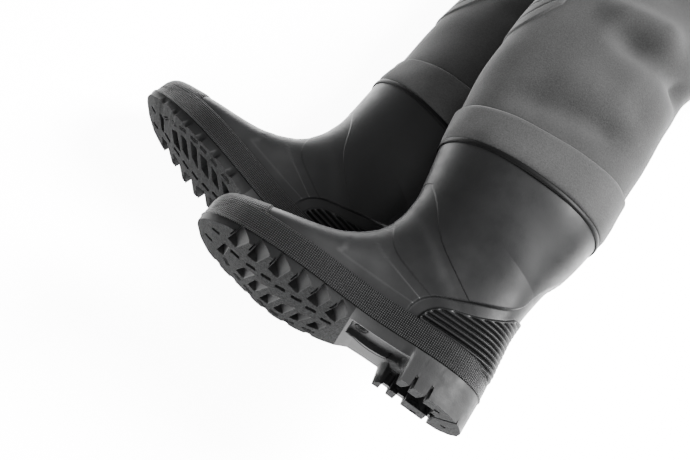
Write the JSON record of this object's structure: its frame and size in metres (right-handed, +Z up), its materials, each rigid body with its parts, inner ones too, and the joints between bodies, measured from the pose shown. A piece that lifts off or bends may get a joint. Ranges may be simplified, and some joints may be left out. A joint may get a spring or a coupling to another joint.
{
  "type": "chest waders",
  "caption": "Neoprene chest waders lying on their back: lugged rubber boots, legs, bib with pockets and zip, belt, buckled shoulder straps.",
  "frame": {"origin": "centre of the footprint, on the surface the waders lie on", "axes": "+Z up from that surface, +Y from the boots to the chest, -X the way the toes point; the wearer's left is +X at the bib"},
  "size_m": [0.7817, 1.7121, 0.2418],
  "materials": {
    "boot_rubber": "satin",
    "buckle_plastic": "satin",
    "cuff_cloth": "matte",
    "insole_foam": "matte",
    "neoprene": "matte knitted face",
    "pad_cloth": "satin woven",
    "sole_rubber": "matte",
    "steel": "brushed",
    "web_cloth": "woven webbing"
  },
  "bodies": {
    "trousers": {"trousers": "neoprene", "seat_patch": "pad_cloth", "knee_pad_upper_L": "pad_cloth", "knee_pad_upper_R": "pad_cloth"},
    "left_leg": {"lower_leg_L": "neoprene", "cuff_L": "cuff_cloth", "knee_pad_lower_L": "pad_cloth", "boot_L": "boot_rubber", "rim_L": "boot_rubber", "foxing_L": "sole_rubber", "outsole_L": "sole_rubber", "insole_L": "insole_foam", "shank_L": "steel"},
    "right_leg": {"lower_leg_R": "neoprene", "cuff_R": "cuff_cloth", "knee_pad_lower_R": "pad_cloth", "boot_R": "boot_rubber", "rim_R": "boot_rubber", "foxing_R": "sole_rubber", "outsole_R": "sole_rubber", "insole_R": "insole_foam", "shank_R": "steel"},
    "zip_slider": {"zip_slider": "steel"},
    "zip_puller": {"zip_puller": "steel"},
    "pocket_flap": {"pocket_flap": "pad_cloth"},
    "tool_ring": {"tool_ring": "steel"},
    "adjuster_L": {"adjuster_L": "buckle_plastic"},
    "adjuster_R": {"adjuster_R": "buckle_plastic"},
    "buckle_L_prong_a": {"buckle_L_prong_a": "buckle_plastic"},
    "buckle_L_prong_b": {"buckle_L_prong_b": "buckle_plastic"},
    "buckle_R_prong_a": {"buckle_R_prong_a": "buckle_plastic"},
    "buckle_R_prong_b": {"buckle_R_prong_b": "buckle_plastic"},
    "belt_buckle_prong_a": {"belt_buckle_prong_a": "buckle_plastic"},
    "belt_buckle_prong_b": {"belt_buckle_prong_b": "buckle_plastic"},
    "bib": {"anchor_tab_L": "web_cloth", "anchor_tab_R": "web_cloth", "back_yoke": "pad_cloth", "belt": "web_cloth", "belt_buckle_plug": "buckle_plastic", "belt_buckle_socket": "buckle_plastic", "belt_loop_1": "web_cloth", "belt_loop_2": "web_cloth", "belt_loop_3": "web_cloth", "belt_loop_4": "web_cloth", "bib": "neoprene", "buckle_L_plug": "buckle_plastic", "buckle_L_socket": "buckle_plastic", "buckle_R_plug": "buckle_plastic", "buckle_R_socket": "buckle_plastic", "chest_pocket": "neoprene", "flap_tape": "web_cloth", "ring_tab": "web_cloth", "side_pocket": "neoprene", "strap_L": "web_cloth", "strap_R": "web_cloth", "top_binding": "web_cloth", "zip_tape": "web_cloth"}
  },
  "joints": [
    {"name": "knee_L", "type": "hinge", "parent": "trousers", "child": "left_leg", "pos_m": [0.11239, -0.39606, 0.182], "axis": [0, 0, 1], "range_deg": [0, 60]},
    {"name": "knee_R", "type": "hinge", "parent": "trousers", "child": "right_leg", "pos_m": [-0.17042, -0.29978, 0.06], "axis": [0, 0, -1], "range_deg": [0, 25]},
    {"name": "bib_fold", "type": "hinge", "parent": "trousers", "child": "bib", "pos_m": [0.103, 0.1961, 0.134], "axis": [1, 0, 0], "range_deg": [0, 75]},
    {"name": "zip_slide", "type": "slide", "parent": "bib", "child": "zip_slider", "axis": [1, 0, 0], "range_m": [0, 0.18]},
    {"name": "zip_puller_swing", "type": "hinge", "parent": "zip_slider", "child": "zip_puller", "pos_m": [0.008, 0.4631, 0.13311], "axis": [0, 1, 0], "range_deg": [0, 150]},
    {"name": "flap_hinge", "type": "hinge", "parent": "bib", "child": "pocket_flap", "pos_m": [-0.085, 0.4361, 0.1356], "axis": [-0.987, 0, -0.1605], "range_deg": [0, 150]},
    {"name": "tool_ring_swing", "type": "hinge", "parent": "bib", "child": "tool_ring", "pos_m": [0.188, 0.5011, 0.12442], "axis": [-1, 0, 0], "range_deg": [0, 150]},
    {"name": "adjuster_L_slide", "type": "slide", "parent": "bib", "child": "adjuster_L", "axis": [0, 0.9877, -0.1564], "range_m": [0, 0.045]},
    {"name": "adjuster_R_slide", "type": "slide", "parent": "bib", "child": "adjuster_R", "axis": [0, 0.9877, -0.1564], "range_m": [0, 0.045]},
    {"name": "buckle_L_prong_a_press", "type": "hinge", "parent": "bib", "child": "buckle_L_prong_a", "pos_m": [0.2392, 0.5811, 0.12605], "axis": [0, 0, 1], "range_deg": [0, 8], "stiffness_Nm_per_rad": 0.03},
    {"name": "buckle_L_prong_b_press", "type": "hinge", "parent": "bib", "child": "buckle_L_prong_b", "pos_m": [0.2668, 0.5811, 0.12605], "axis": [0, 0, -1], "range_deg": [0, 8], "stiffness_Nm_per_rad": 0.03},
    {"name": "buckle_R_prong_a_press", "type": "hinge", "parent": "bib", "child": "buckle_R_prong_a", "pos_m": [-0.0608, 0.5811, 0.12605], "axis": [0, 0, 1], "range_deg": [0, 8], "stiffness_Nm_per_rad": 0.03},
    {"name": "buckle_R_prong_b_press", "type": "hinge", "parent": "bib", "child": "buckle_R_prong_b", "pos_m": [-0.0332, 0.5811, 0.12605], "axis": [0, 0, -1], "range_deg": [0, 8], "stiffness_Nm_per_rad": 0.03},
    {"name": "belt_buckle_prong_a_press", "type": "hinge", "parent": "bib", "child": "belt_buckle_prong_a", "pos_m": [0.106, 0.2499, 0.13965], "axis": [0, 0, 1], "range_deg": [0, 8], "stiffness_Nm_per_rad": 0.03},
    {"name": "belt_buckle_prong_b_press", "type": "hinge", "parent": "bib", "child": "belt_buckle_prong_b", "pos_m": [0.106, 0.2223, 0.13965], "axis": [0, 0, -1], "range_deg": [0, 8], "stiffness_Nm_per_rad": 0.03}
  ]
}
